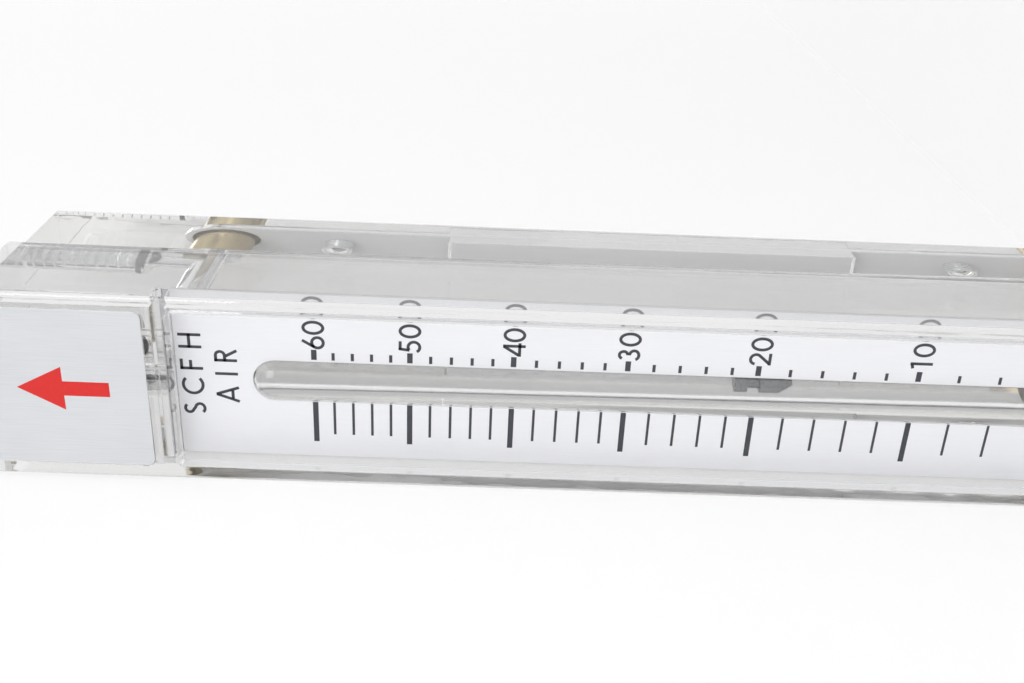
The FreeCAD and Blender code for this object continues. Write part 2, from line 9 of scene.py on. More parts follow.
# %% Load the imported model
import math
import bmesh
import bpy
import numpy as np
from mathutils import Matrix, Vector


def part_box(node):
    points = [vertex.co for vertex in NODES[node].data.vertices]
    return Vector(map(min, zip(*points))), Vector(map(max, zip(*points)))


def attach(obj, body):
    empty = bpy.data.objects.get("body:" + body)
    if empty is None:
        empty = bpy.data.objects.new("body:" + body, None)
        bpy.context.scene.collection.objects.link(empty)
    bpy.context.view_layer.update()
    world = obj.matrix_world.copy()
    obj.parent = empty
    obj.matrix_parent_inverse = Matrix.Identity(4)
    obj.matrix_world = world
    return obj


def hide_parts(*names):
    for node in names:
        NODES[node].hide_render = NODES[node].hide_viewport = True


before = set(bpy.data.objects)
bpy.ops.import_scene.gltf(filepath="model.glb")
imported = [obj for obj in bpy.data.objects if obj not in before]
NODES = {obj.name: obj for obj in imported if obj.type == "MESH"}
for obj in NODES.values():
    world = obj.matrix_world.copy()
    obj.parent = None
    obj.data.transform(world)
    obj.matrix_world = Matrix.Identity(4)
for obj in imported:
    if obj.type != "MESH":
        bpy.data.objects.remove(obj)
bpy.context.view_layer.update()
print("CAD nodes:", len(NODES))

# %% [markdown]
# Lengths on this meter are spoken of in millimetres, and Blender counts in metres. Naming the
# millimetre once keeps the sizes below readable. Colours are written as the hex values that a
# paint chart gives, and one function turns them into the linear values that shaders expect.

# %% Millimetres and colours
MM = 0.001


def colour(text):
    """Linear RGBA of an sRGB hex value: each channel c goes to c/12.92 when small, and to
    ((c + 0.055) / 1.055) ** 2.4 otherwise."""
    channels = np.array([int(text[n:n + 2], 16) for n in (1, 3, 5)]) / 255
    linear = np.where(channels <= 0.04045, channels / 12.92, ((channels + 0.055) / 1.055) ** 2.4)
    return (*linear.tolist(), 1.0)


print("white:", colour("#FFFFFF"))

# %% [markdown]
# A shader is a small graph. One function adds a node, sets what is constant on it and links
# what is not, so each material below reads as a list of its nodes from pattern to output.

# %% Add a node
def add_node(tree, kind, settings=None, links=None):
    """New node of a kind, with its settings by socket or attribute name and its links."""
    made = tree.nodes.new(kind)
    for key, value in (settings or {}).items():
        if isinstance(key, int) or key in made.inputs:
            made.inputs[key].default_value = value
        else:
            setattr(made, key, value)
    for key, source in (links or {}).items():
        tree.links.new(source, made.inputs[key])
    return made


def new_material(name):
    """Empty material and its node tree, with only the output in it."""
    material = bpy.data.materials.new(name)
    material.use_nodes = True
    material.node_tree.nodes.clear()
    output = material.node_tree.nodes.new("ShaderNodeOutputMaterial")
    return material, material.node_tree, output


def grain_of(tree, size, stretch=(1, 1, 1), detail=2.0):
    """Noise on Object coordinates whose grains are about size metres across, squeezed along
    each axis by stretch."""
    place = add_node(tree, "ShaderNodeTexCoord").outputs["Object"]
    place = add_node(tree, "ShaderNodeMapping", {"Scale": stretch}, {"Vector": place}).outputs[0]
    return add_node(tree, "ShaderNodeTexNoise", {"Scale": 1 / size, "Detail": detail},
                    {"Vector": place}).outputs["Fac"]


def soft_edge(tree, radius, height, strength, distance):
    """Normal with the corners rounded by radius and the bumps of a height pattern."""
    normal = add_node(tree, "ShaderNodeBevel", {"samples": 4, "Radius": radius}).outputs[0]
    return add_node(tree, "ShaderNodeBump", {"Strength": strength, "Distance": distance},
                    {"Height": height, "Normal": normal}).outputs[0]


def mottled(tree, settings, tone_by, tones, gloss_by, roughness, normal):
    """Principled surface that goes from one hex tone to another with one pattern, and from one
    roughness to another with a second."""
    tone = add_node(tree, "ShaderNodeMix",
                    {"data_type": "RGBA", 6: colour(tones[0]), 7: colour(tones[1])}, {0: tone_by})
    gloss = add_node(tree, "ShaderNodeMapRange",
                     {"To Min": roughness[0], "To Max": roughness[1]}, {"Value": gloss_by})
    return add_node(tree, "ShaderNodeBsdfPrincipled", settings,
                    {"Base Color": tone.outputs[2], "Roughness": gloss.outputs[0],
                     "Normal": normal})


print("node helpers ready")

# %% [markdown]
# The body and the bezel are moulded polycarbonate. It bends light strongly, with an index of
# about 1.58, it is faintly warm through its thickness, and its faces are not quite flat,
# because thick plastic sinks as it cools. A Principled shader at full transmission gives the
# surface and Volume Absorption gives the tint, so thick parts look warmer than thin ones.
# Three kinds of ray pass straight through a Transparent shader instead. Rays from lamps and
# rays scattered by matte surfaces could not light what lies inside real glass without very
# long renders, and rays mirrored three times inside the block would otherwise end in black.

# %% Clear polycarbonate
MIRRORED = 2.5


def clear_plastic(name, seen, depth_tint, density, roughness, ripple):
    """Clear plastic with a depth tint, shallow mould ripples about 9 mm apart and a fine haze
    of handling marks about 0.6 mm apart."""
    material, tree, output = new_material(name)
    sink = grain_of(tree, 9 * MM, detail=1.0)
    marks = grain_of(tree, 0.6 * MM, (1, 1, 0.25), detail=3.0)
    haze = add_node(tree, "ShaderNodeMapRange",
                    {"To Min": roughness[0], "To Max": roughness[1]}, {"Value": marks})
    surface = add_node(tree, "ShaderNodeBsdfPrincipled",
                       {"Base Color": colour(seen), "Transmission Weight": 1.0, "IOR": 1.58},
                       {"Roughness": haze.outputs[0],
                        "Normal": soft_edge(tree, 0.35 * MM, sink, ripple, 1 * MM)})
    through = add_node(tree, "ShaderNodeBsdfTransparent", {"Color": colour("#FBFBFB")})
    path = add_node(tree, "ShaderNodeLightPath").outputs
    straight = add_node(tree, "ShaderNodeMath", {"operation": "GREATER_THAN", 1: MIRRORED},
                        {0: path["Glossy Depth"]}).outputs[0]
    for kind in ("Is Shadow Ray", "Is Diffuse Ray"):
        straight = add_node(tree, "ShaderNodeMath", {"operation": "MAXIMUM"},
                            {0: straight, 1: path[kind]}).outputs[0]
    shown = add_node(tree, "ShaderNodeMixShader", None,
                     {0: straight, 1: surface.outputs[0], 2: through.outputs[0]})
    inside = add_node(tree, "ShaderNodeVolumeAbsorption",
                      {"Color": colour(depth_tint), "Density": density})
    tree.links.new(shown.outputs[0], output.inputs["Surface"])
    tree.links.new(inside.outputs[0], output.inputs["Volume"])
    return material


BODY_PLASTIC = clear_plastic("moulded_polycarbonate_body", "#F2F2F2", "#F1EFE8", 5,
                             (0.0, 0.02), 0.05)
BEZEL_PLASTIC = clear_plastic("moulded_polycarbonate_bezel", "#E6E6E7", "#F0EFEA", 6,
                              (0.01, 0.04), 0.06)
PLUG_PLASTIC = clear_plastic("moulded_polycarbonate_plug", "#E9EAEC", "#E8E9EA", 20,
                             (0.02, 0.08), 0.05)
print("clear plastics:", BODY_PLASTIC.name, BEZEL_PLASTIC.name, PLUG_PLASTIC.name)

# %% [markdown]
# The scale and the nameplates are rolled aluminium sheet. The scale is satin anodised, with
# very fine rolling lines along its length, and the nameplates are brushed, with clearer ones.
# Real brush lines are some hundredths of a millimetre apart, too fine to show, so they are
# drawn 0.12 mm apart and 60 times as long.

# %% Aluminium sheet
PATCHY = 0.3


def brushed_sheet(name, low, high, roughness, depth, bare=1.0):
    """Metal whose colour, gloss and height follow brush lines that run along Z, with broad
    patches in a share of the colour. Its bare share is 1 for clean metal and less under the
    milky oxide of an anodised sheet."""
    material, tree, output = new_material(name)
    lines = grain_of(tree, 0.12 * MM, (1, 1, 1 / 60), detail=3.0)
    patches = grain_of(tree, 14 * MM, detail=1.0)
    blend = add_node(tree, "ShaderNodeMix", {0: PATCHY}, {2: lines, 3: patches}).outputs[0]
    surface = mottled(tree, {"Metallic": bare}, blend, (low, high), lines, roughness,
                      soft_edge(tree, 0.1 * MM, lines, depth, 0.02 * MM))
    tree.links.new(surface.outputs[0], output.inputs["Surface"])
    return material


SCALE_METAL = brushed_sheet("satin_anodised_aluminium_sheet", "#E9EAED", "#F5F5F8",
                            (0.45, 0.6), 0.15, bare=0.5)
NAMEPLATE_METAL = brushed_sheet("brushed_aluminium_sheet", "#D0D2D6", "#ECEEF1", (0.3, 0.5), 0.4)
print("sheet metals:", SCALE_METAL.name, NAMEPLATE_METAL.name)

# %% [markdown]
# The backbone is a steel strip with a matte grey paint, which covers all but a little of the
# metal's own shine. The connections are turned brass, the inserts zinc-plated steel and the
# float stainless steel. One function makes a metal from two tones and its grain, because they
# differ in colour, gloss and grain size, and in how much of the metal shows.

# %% Painted and turned metals
def plain_metal(name, low, high, roughness, grain, depth, stretch=(1, 1, 1), bare=1.0):
    """Metal mottled between two tones, with a grain of a given size and bump depth. Its bare
    share is 1 for clean metal and less under paint."""
    material, tree, output = new_material(name)
    mottle = grain_of(tree, grain, stretch, detail=4.0)
    surface = mottled(tree, {"Metallic": bare}, mottle, (low, high), mottle, roughness,
                      soft_edge(tree, 0.2 * MM, mottle, depth, 0.05 * MM))
    tree.links.new(surface.outputs[0], output.inputs["Surface"])
    return material


BACKBONE_METAL = plain_metal("painted_steel_matte", "#D8D8DA", "#E0E0E2", (0.5, 0.65),
                             0.5 * MM, 0.2, bare=0.2)
BRASS = plain_metal("turned_brass", "#B0A07A", "#CDBF9C", (0.2, 0.35), 0.3 * MM, 0.15, (1, 8, 1))
ZINC_PLATE = plain_metal("zinc_plated_steel", "#C9CCCF", "#E9EBEC", (0.15, 0.3), 0.3 * MM, 0.15)
STAINLESS = plain_metal("turned_stainless_steel", "#6A6C6E", "#9EA0A2", (0.2, 0.35),
                        0.25 * MM, 0.15, (1, 1, 8))
print("metals:", BACKBONE_METAL.name, BRASS.name, ZINC_PLATE.name, STAINLESS.name)

# %% [markdown]
# O-rings are black nitrile rubber with a soft sheen, the lower stop is a grey moulded plastic,
# and the print is screen ink: near black on the scale and a plain red on the nameplate.

# %% Rubber, plastic and ink
def dull_surface(name, low, high, roughness, grain, depth):
    """Non-metal mottled between two tones, with a fine grain in its gloss and height."""
    material, tree, output = new_material(name)
    mottle = grain_of(tree, grain, detail=3.0)
    height = add_node(tree, "ShaderNodeBump", {"Strength": depth, "Distance": 0.05 * MM},
                      {"Height": mottle})
    surface = mottled(tree, {"IOR": 1.5}, mottle, (low, high), mottle, roughness,
                      height.outputs[0])
    tree.links.new(surface.outputs[0], output.inputs["Surface"])
    return material


RUBBER = dull_surface("nitrile_rubber", "#141414", "#242322", (0.35, 0.5), 0.4 * MM, 0.2)
STOP_PLASTIC = dull_surface("moulded_acetal_grey", "#6B675D", "#827C70", (0.4, 0.55), 0.4 * MM, 0.2)
BLACK_INK = dull_surface("screen_ink_black", "#33353C", "#43454D", (0.45, 0.6), 0.3 * MM, 0.1)
RED_INK = dull_surface("screen_ink_red", "#CE1410", "#DA1E18", (0.35, 0.5), 0.8 * MM, 0.1)
print("dull finishes:", RUBBER.name, STOP_PLASTIC.name, BLACK_INK.name, RED_INK.name)

# %% [markdown]
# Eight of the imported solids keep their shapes, and each gets its finish here by node name. The
# other thirteen have threads, squeezed rubber or pressed-in faces that are made further down.

# %% Dress the CAD nodes
FINISH = {"flow_body": BODY_PLASTIC, "bezel": BEZEL_PLASTIC, "scale_plate": SCALE_METAL,
          "top_nameplate": NAMEPLATE_METAL, "bottom_nameplate": NAMEPLATE_METAL,
          "upper_float_stop": STAINLESS, "lower_float_stop": STOP_PLASTIC, "float": STAINLESS}
for name, material in FINISH.items():
    NODES[name].data.materials[0] = material
print("dressed:", len(FINISH), "of", len(NODES))

# %% [markdown]
# Every new piece is a surface computed with numpy. Its points come as a grid, and the faces
# join neighbours on that grid. The mesh gets them in one call, its coincident points are
# merged so that seams and poles close, and edges sharper than 35 degrees stay crisp.

# %% From numpy grid to mesh
CRISP = math.radians(35)


def grid_faces(rows, columns, wrap):
    """Corner numbers of the quads of a grid; with wrap the last column joins the first."""
    steps = np.arange(columns if wrap else columns - 1)
    row, step = np.meshgrid(np.arange(rows - 1), steps, indexing="ij")
    ahead = (step + 1) % columns
    quads = np.stack([row * columns + step, row * columns + ahead,
                      (row + 1) * columns + ahead, (row + 1) * columns + step], axis=-1)
    return quads.reshape(-1, 4)


def closed_mesh(name, points, faces):
    """Mesh from points and faces, with coincident points merged and normals outward."""
    mesh = bpy.data.meshes.new(name)
    mesh.from_pydata(points.reshape(-1, 3).tolist(), [], faces.tolist())
    work = bmesh.new()
    work.from_mesh(mesh)
    bmesh.ops.remove_doubles(work, verts=work.verts, dist=0.001 * MM)
    bmesh.ops.recalc_face_normals(work, faces=work.faces)
    work.to_mesh(mesh)
    work.free()
    return mesh


def new_piece(name, points, faces, material, stands_for=(), body="meter"):
    """Closed piece with a finish, which rides on a body in the place of CAD nodes."""
    mesh = closed_mesh(name, points, faces)
    mesh.polygons.foreach_set("use_smooth", np.ones(len(mesh.polygons), bool))
    mesh.set_sharp_from_angle(angle=CRISP)
    mesh.materials.append(material)
    piece = bpy.data.objects.new(name, mesh)
    bpy.context.scene.collection.objects.link(piece)
    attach(piece, body)
    if stands_for:
        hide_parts(*stands_for)
    print(f"{name}: {len(mesh.vertices)} points, {len(mesh.polygons)} faces")
    return piece


# %% [markdown]
# Turned pieces with threads share one surface. A profile lists how far along the axis and how
# far from it each corner lies, and the thread is a wave with flat tops taken off the radius. It
# moves one pitch along for each turn, which is what makes it a helix.

# %% Turned and threaded surface
TURN_STEPS = 96


def dense(profile, step):
    """Profile corners with points added so that none are more than step apart."""
    parts = []
    for (a, r, cut), (b, q, _) in zip(profile[:-1], profile[1:]):
        count = max(1, math.ceil(math.hypot(b - a, q - r) / step)) if cut else 1
        share = np.arange(count)[:, None] / count
        parts.append(np.array([a, r, cut]) * (1 - share) + np.array([b, q, cut]) * share)
    parts.append(np.array([profile[-1]]))
    return np.vstack(parts)


def turned(profile, pitch, depth, centre, axis):
    """Points of a turned surface. Profile rows are distance along the axis, radius, and cut:
    1 where the thread is cut into a plug, -1 where it is cut into a hole, 0 where plain. With
    t = triangle wave of (distance / pitch - angle), w is 2 t - 1/2 kept between 0 and 1, which
    leaves flat crests and roots. The radius is radius - cut * depth * w, and the wave fades out
    over half a pitch at each end of the cut."""
    rows = dense(profile, pitch / 8)
    along, radius, cut = rows.T
    angle = np.linspace(0, 2 * np.pi, TURN_STEPS, endpoint=False)
    phase = (along[:, None] / pitch - angle[None, :] / (2 * np.pi)) % 1
    wave = np.clip(2 * np.abs(2 * phase - 1) - 0.5, 0, 1)
    threaded = along[cut != 0] if cut.any() else along
    ends = np.minimum(np.abs(along - threaded.min()), np.abs(along - threaded.max()))
    fade = np.clip(ends / (pitch / 2), 0, 1) * cut
    reach = radius[:, None] - depth * fade[:, None] * wave
    around = [np.roll(np.array(axis, float), shift) for shift in (1, 2)]
    ring = np.cos(angle)[:, None] * around[0] + np.sin(angle)[:, None] * around[1]
    return (np.array(centre) + along[:, None, None] * np.array(axis, float)
            + reach[:, :, None] * ring[None, :, :])


def turned_piece(name, profile, pitch, depth, centre, axis, material, stands_for):
    """A turned piece in the place of the CAD nodes that it stands for."""
    points = turned(profile, pitch, depth, centre, axis)
    faces = grid_faces(points.shape[0], TURN_STEPS, True)
    return new_piece(name, points, faces, material, stands_for)


# %% [markdown]
# Slots and drilled holes are cut with a Boolean modifier, as a milling cutter or a drill would.
# The modifier's result becomes the mesh and the cutter is removed.

# %% Mill and drill
BOX_CORNERS = np.array([[x, y, z] for x in (0, 1) for y in (0, 1) for z in (0, 1)])
BOX_SIDES = np.array([(0, 1, 3, 2), (4, 6, 7, 5), (0, 4, 5, 1),
                      (2, 3, 7, 6), (0, 2, 6, 4), (1, 5, 7, 3)])


def cut_away(piece, points, faces):
    """Take the closed surface made of points and faces away from a piece."""
    cutter = bpy.data.objects.new("cutter", closed_mesh("cutter", points, faces))
    bpy.context.scene.collection.objects.link(cutter)
    step = piece.modifiers.new("cut", "BOOLEAN")
    step.object, step.operation, step.solver = cutter, "DIFFERENCE", "EXACT"
    graph = bpy.context.evaluated_depsgraph_get()
    result = bpy.data.meshes.new_from_object(piece.evaluated_get(graph))
    piece.modifiers.clear()
    piece.data = result
    result.set_sharp_from_angle(angle=CRISP)
    bpy.data.objects.remove(cutter)
    print(f"{piece.name}: cut, now {len(result.polygons)} faces")


def mill(piece, low, high):
    """Cut the box from low to high out of a piece."""
    points = np.array(low) + BOX_CORNERS * (np.array(high) - np.array(low))
    cut_away(piece, points, BOX_SIDES)


def drill(piece, radius, x, low_y, high_y, z):
    """Cut a round hole along Y out of a piece, between two depths."""
    profile = [(0, 0, 0), (0, radius, 0), (high_y - low_y, radius, 0), (high_y - low_y, 0, 0)]
    points = turned(profile, 1.0, 0.0, (x, low_y, z), (0, 1, 0))
    cut_away(piece, points, grid_faces(points.shape[0], TURN_STEPS, True))


# %% [markdown]
# A piece that is pressed or screwed tight into clear plastic wets it: no air is left between
# them, and one sees the piece through the wall. Where air is left, the wall is a mirror when
# seen at a slant. So each face that the plastic grips is made to reach 0.03 mm into it, which
# is as good as no air at all.

# %% Grip
GRIP = 0.03 * MM
print(f"grip: {GRIP / MM:.2f} mm")

# %% [markdown]
# A port plug closes the hole in each end of the body. It is a moulded plug with a coarse
# thread, and the thread's crests, which touch the hole, are what one sees through the clear
# wall, as stripes 2.1 mm apart. The slot across the outer end takes a coin.

# %% Port plugs
PORT_PITCH, PORT_THREAD = 2.1 * MM, 0.9 * MM
COIN_SLOT, COIN_SINK = 2 * MM, 3 * MM
for end, outward in (("top", 1), ("bottom", -1)):
    node = f"{end}_port_plug"
    low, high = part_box(node)
    middle = (low + high) / 2
    radius = (high.x - low.x) / 2 + GRIP
    length = high.z - low.z
    inner = low.z if outward > 0 else high.z
    profile = [(0, 0, 0), (0, radius - 1.2 * MM, 0), (0.6 * MM, radius, 1),
               (length - 0.5 * MM, radius, 0), (length, radius - 0.5 * MM, 0), (length, 0, 0)]
    plug = turned_piece(f"threaded_{end}_plug", profile, PORT_PITCH, PORT_THREAD,
                        (middle.x, middle.y, inner), (0, 0, outward), PLUG_PLASTIC,
                        [node])
    mouth = high.z if outward > 0 else low.z
    floor, past = mouth - outward * COIN_SINK, mouth + outward * MM
    mill(plug, (middle.x - 9 * MM, middle.y - COIN_SLOT / 2, min(floor, past)),
         (middle.x + 9 * MM, middle.y + COIN_SLOT / 2, max(floor, past)))

# %% [markdown]
# The tube plug closes the bore under the bezel. Its inner end holds the rod that stops the
# float, so its profile starts inside that hole.

# %% Tube plug
TUBE_PITCH, TUBE_THREAD = 1.4 * MM, 0.6 * MM
DRIVER_SLOT, DRIVER_SINK = 1.2 * MM, 2 * MM
low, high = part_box("tube_plug")
rod_low, rod_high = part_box("upper_float_stop")
middle = (low + high) / 2
radius = (high.x - low.x) / 2
length = high.z - low.z
rod_radius = (rod_high.x - rod_low.x) / 2
held = rod_high.z - low.z
profile = [(held, 0, 0), (held, rod_radius, 0), (0, rod_radius, 0), (0, radius - 0.8 * MM, 0),
           (0.5 * MM, radius, 1), (length - 0.5 * MM, radius, 0), (length, radius - 0.5 * MM, 0),
           (length, 0, 0)]
plug = turned_piece("threaded_tube_plug", profile, TUBE_PITCH, TUBE_THREAD,
                    (middle.x, middle.y, low.z), (0, 0, 1), PLUG_PLASTIC,
                    ["tube_plug"])
mill(plug, (middle.x - 6 * MM, middle.y - DRIVER_SLOT / 2, high.z - DRIVER_SINK),
     (middle.x + 6 * MM, middle.y + DRIVER_SLOT / 2, high.z + MM))

# %% [markdown]
# The backbone is a flat strip with round ends and a thicker middle. Its surface is carried
# along Z: at each height a section with softened corners, whose half-width follows the round
# end and whose front follows the thicker middle. Holes for the connections and the inserts are
# drilled afterwards.

# %% Backbone
STRIP = 3.2 * MM
PAD_TO_INSERT = 24 * MM
NECK_HOLE, INSERT_RADIUS = 7.42 * MM, 3.22 * MM
strip_low, strip_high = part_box("backbone")
CONNECTION_BOX = {end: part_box(f"{end}_pipe_connection") for end in ("top", "bottom")}
INSERT_BOX = {end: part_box(f"{end}_mounting_insert") for end in ("top", "bottom")}


def middle_z(box):
    """Height of a box's middle."""
    return (box[0].z + box[1].z) / 2


def backbone_surface():
    """Grid of points. With d the distance past the centre of a round end, the half-width is
    sqrt(r * r - d * d). The front steps from the strip to the thicker middle over a quarter
    circle, and each corner of the section is a quarter circle too."""
    half = (strip_high.x - strip_low.x) / 2
    thin_front, thick_front = strip_high.y - STRIP - GRIP, strip_low.y - GRIP
    bottom_z, top_z = (middle_z(CONNECTION_BOX[end]) for end in ("bottom", "top"))
    centre = (bottom_z + top_z) / 2
    pad = middle_z(INSERT_BOX["top"]) - PAD_TO_INSERT - centre
    turn = np.linspace(0, np.pi / 2, 25)
    step = np.linspace(0, np.pi / 2, 9)
    soft = 0.8 * MM
    wall = centre - pad + soft * (1 - np.cos(step))
    lower_z = np.concatenate([bottom_z - half * np.cos(turn), [centre - pad - 0.01 * MM], wall])
    lower_width = np.concatenate([half * np.sin(turn), np.full(len(step) + 1, half)])
    lower_front = np.concatenate([np.full(len(turn) + 1, thin_front),
                                  thick_front + soft * (1 - np.sin(step))])
    z = np.concatenate([lower_z, 2 * centre - lower_z[::-1]])
    width = np.concatenate([lower_width, lower_width[::-1]])
    front = np.concatenate([lower_front, lower_front[::-1]])
    rise = thin_front - thick_front
    print(f"thicker middle: {2 * pad / MM:.1f} mm long, {rise / MM:.1f} mm proud")
    edge = np.minimum(0.3 * MM, width)
    corner = np.linspace(0, np.pi / 2, 5)
    sides = []
    for place, (side, back) in enumerate(((1, True), (-1, True), (-1, False), (1, False))):
        around = corner if place % 2 == 0 else corner[::-1]
        x = side * (width[:, None] - edge[:, None] * (1 - np.cos(around)))
        depth = edge[:, None] * (1 - np.sin(around))
        y = strip_high.y - depth if back else front[:, None] + depth
        sides.append(np.stack([x, y, np.broadcast_to(z[:, None], x.shape)], axis=-1))
    return np.concatenate(sides, axis=1)


points = backbone_surface()
backbone = new_piece("painted_backbone", points, grid_faces(points.shape[0], points.shape[1], True),
                     BACKBONE_METAL, ["backbone"])
for end in ("top", "bottom"):
    for box, radius in ((CONNECTION_BOX[end], NECK_HOLE), (INSERT_BOX[end], INSERT_RADIUS)):
        drill(backbone, radius, 0.0, strip_low.y - MM, strip_high.y + MM, middle_z(box))

# %% [markdown]
# A pipe connection is turned from brass: a boss behind the backbone, a neck through it and a
# spigot with an O-ring groove in the body. The taper pipe thread inside has 18 threads to the
# inch.

# %% Pipe connections
INCH = 25.4 * MM
SPIGOT, NECK = 6.4 * MM + GRIP, 7.4 * MM
PASSAGE, GROOVE = 3.2 * MM, 4.7 * MM
PIPE_BORE, PIPE_MOUTH, PIPE_DEPTH = 6.2 * MM, 7.1 * MM, 10.5 * MM
for end, (low, high) in CONNECTION_BOX.items():
    seal_low, seal_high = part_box(f"{end}_connection_o_ring")
    middle = (low + high) / 2
    length = high.y - low.y
    boss = (high.x - low.x) / 2
    neck_start, neck_end = strip_high.y - STRIP - low.y, strip_high.y - low.y
    groove_start, groove_end = seal_low.y - 0.1 * MM - low.y, seal_high.y + 0.1 * MM - low.y
    thread_end = length - PIPE_DEPTH
    profile = [(thread_end, PASSAGE, 0), (0, PASSAGE, 0), (0, SPIGOT, 0),
               (groove_start, SPIGOT, 0), (groove_start, GROOVE, 0), (groove_end, GROOVE, 0),
               (groove_end, SPIGOT, 0), (neck_start, SPIGOT, 0), (neck_start, NECK, 0),
               (neck_end, NECK, 0), (neck_end, boss, 0), (length - 0.8 * MM, boss, 0),
               (length, boss - 0.8 * MM, 0), (length, PIPE_MOUTH, 0),
               (length - 0.9 * MM, PIPE_BORE, -1), (thread_end, PIPE_BORE, 0),
               (thread_end, PASSAGE, 0)]
    turned_piece(f"threaded_{end}_connection", profile, INCH / 18, 0.55 * MM,
                 (middle.x, low.y, middle.z), (0, 1, 0), BRASS,
                 [f"{end}_pipe_connection"])

# %% [markdown]
# A mounting insert is a plated steel bush pressed into the backbone and tapped for a number 10
# screw, 32 threads to the inch. Its outside has four grooves that hold it in the plastic.

# %% Mounting inserts
INSERT_BORE = 2.1 * MM
for end, (low, high) in INSERT_BOX.items():
    middle = (low + high) / 2
    length = high.y - low.y + GRIP
    outer = INSERT_RADIUS + GRIP
    rings = [(0.9 + n * 0.9) * MM for n in range(4)]
    grip = [row for at in rings for row in ((at, outer, 0), (at + 0.15 * MM, outer - 0.3 * MM, 0),
                                           (at + 0.45 * MM, outer - 0.3 * MM, 0),
                                           (at + 0.6 * MM, outer, 0))]
    profile = [(0.4 * MM, INSERT_BORE, 0), (0, INSERT_BORE + 0.4 * MM, 0),
               (0, outer - 0.3 * MM, 0), (0.3 * MM, outer, 0), *grip, (length, outer, 0),
               (length, INSERT_BORE + 0.4 * MM, 0), (length - 0.4 * MM, INSERT_BORE, -1),
               (0.4 * MM, INSERT_BORE, 0)]
    turned_piece(f"threaded_{end}_insert", profile, INCH / 32, 0.4 * MM,
                 (middle.x, low.y - GRIP, middle.z), (0, 1, 0), ZINC_PLATE,
                 [f"{end}_mounting_insert"])

# %% [markdown]
# An O-ring in its seat is squeezed flat against the wall round it, and the flat shows as a
# black band through the clear body. The ring is a circle carried round the axis, a little
# fuller than the free ring, and clipped where it meets the wall.

# %% Squeezed O-rings
def squeezed_ring(node, axis):
    """O-ring in the place of a CAD ring. With t round the section, a point lies R + 1.2 r sin t
    from the axis, but never past the wall, and r cos t along it."""
    low, high = (np.array(corner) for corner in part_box(node))
    middle, span = (low + high) / 2, high - low
    section, outer = span[axis] / 2, span[(axis + 1) % 3] / 2
    t = np.linspace(0, 2 * np.pi, 41)
    reach = np.minimum(outer - section + 1.2 * section * np.sin(t), outer + GRIP)
    angle = np.linspace(0, 2 * np.pi, TURN_STEPS, endpoint=False)
    points = np.empty((len(t), TURN_STEPS, 3))
    points[:, :, axis] = middle[axis] + section * np.cos(t)[:, None]
    points[:, :, (axis + 1) % 3] = middle[(axis + 1) % 3] + reach[:, None] * np.cos(angle)
    points[:, :, (axis + 2) % 3] = middle[(axis + 2) % 3] + reach[:, None] * np.sin(angle)
    new_piece(f"squeezed_{node}", points, grid_faces(len(t), TURN_STEPS, True), RUBBER,
              [node])


for end in ("top", "bottom"):
    squeezed_ring(f"{end}_port_o_ring", 2)
    squeezed_ring(f"{end}_connection_o_ring", 1)
squeezed_ring("tube_plug_o_ring", 2)

# %% [markdown]
# The scale is screen printed. A float in a tapered bore does not rise evenly with the flow, so
# the divisions open out towards the low readings. Each division is a thin slab of ink that
# stands a little proud of the sheet.

# %% Slabs of ink
INK = 0.03 * MM
print(f"ink: {INK / MM:.2f} mm thick")


def slabs(name, spans, face, material):
    """Slabs of ink on a plane Y = face. Each row of spans is low x, high x, low z, high z;
    its eight corners are every mix of the lows and highs with the face and the ink's front."""
    spans = np.array(spans)
    points = np.empty((len(spans), 8, 3))
    points[:, :, 0] = spans[:, BOX_CORNERS[:, 0]]
    points[:, :, 1] = np.where(BOX_CORNERS[:, 1] == 0, face - INK, face)
    points[:, :, 2] = spans[:, 2 + BOX_CORNERS[:, 2]]
    faces = (np.arange(len(spans))[:, None, None] * 8 + BOX_SIDES[None]).reshape(-1, 4)
    return new_piece(name, points, faces, material)


# %% [markdown]
# Each hundred and the lowest reading, 60, sit at a height that follows the reading to the
# power 0.6. The printer divides each hundred evenly. The long ticks are left of the lens rib,
# and short stubs lead to the numerals right of it.

# %% Scale divisions
READINGS = np.arange(60, 601, 20)
LOWEST, HIGHEST = 67.0, 197.5
NUMBERED = np.array([60, 100, 200, 300, 400, 500, 600])
POWER = 0.6
SPREAD = (NUMBERED ** POWER - 60 ** POWER) / (600 ** POWER - 60 ** POWER)
NUMBERED_AT = LOWEST + (HIGHEST - LOWEST) * SPREAD
# far and near end and half-thickness of the long tick, then the same of the stub, in mm
HUNDRED = (-13.1, -4.35, 0.52, 4.75, 6.85, 0.52)
TWENTY = (-11.4, -4.35, 0.25, 4.75, 6.3, 0.3)


def height_of(reading):
    """Height in millimetres of a reading: evenly between its numbered neighbours, where a
    reading q sits at lowest + span * (q^0.6 - 60^0.6) / (600^0.6 - 60^0.6)."""
    return float(np.interp(reading, NUMBERED, NUMBERED_AT))


plate_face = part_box("scale_plate")[0].y
ticks = []
for reading in READINGS:
    z = height_of(float(reading))
    marks = HUNDRED if reading % 100 == 0 else TWENTY
    for start, stop, half in (marks[:3], marks[3:]):
        ticks.append((start, stop, z - half, z + half))
slabs("scale_ticks", np.array(ticks) * MM, plate_face, BLACK_INK)

# %% [markdown]
# The numerals and the unit letters are drawn as a sign writer would, with a flat brush of one
# width carried along lines and arcs. A stroke is a path in a box one unit high, and the brush
# is offset to both sides of it. A short list of strokes per character is all that they need.

# %% Strokes of the lettering
def arc(cx, cy, rx, ry, start, stop, steps=28):
    """Points on an ellipse from one angle to another, in degrees."""
    angle = np.radians(np.linspace(start, stop, steps))
    return np.stack([cx + rx * np.cos(angle), cy + ry * np.sin(angle)], axis=1)


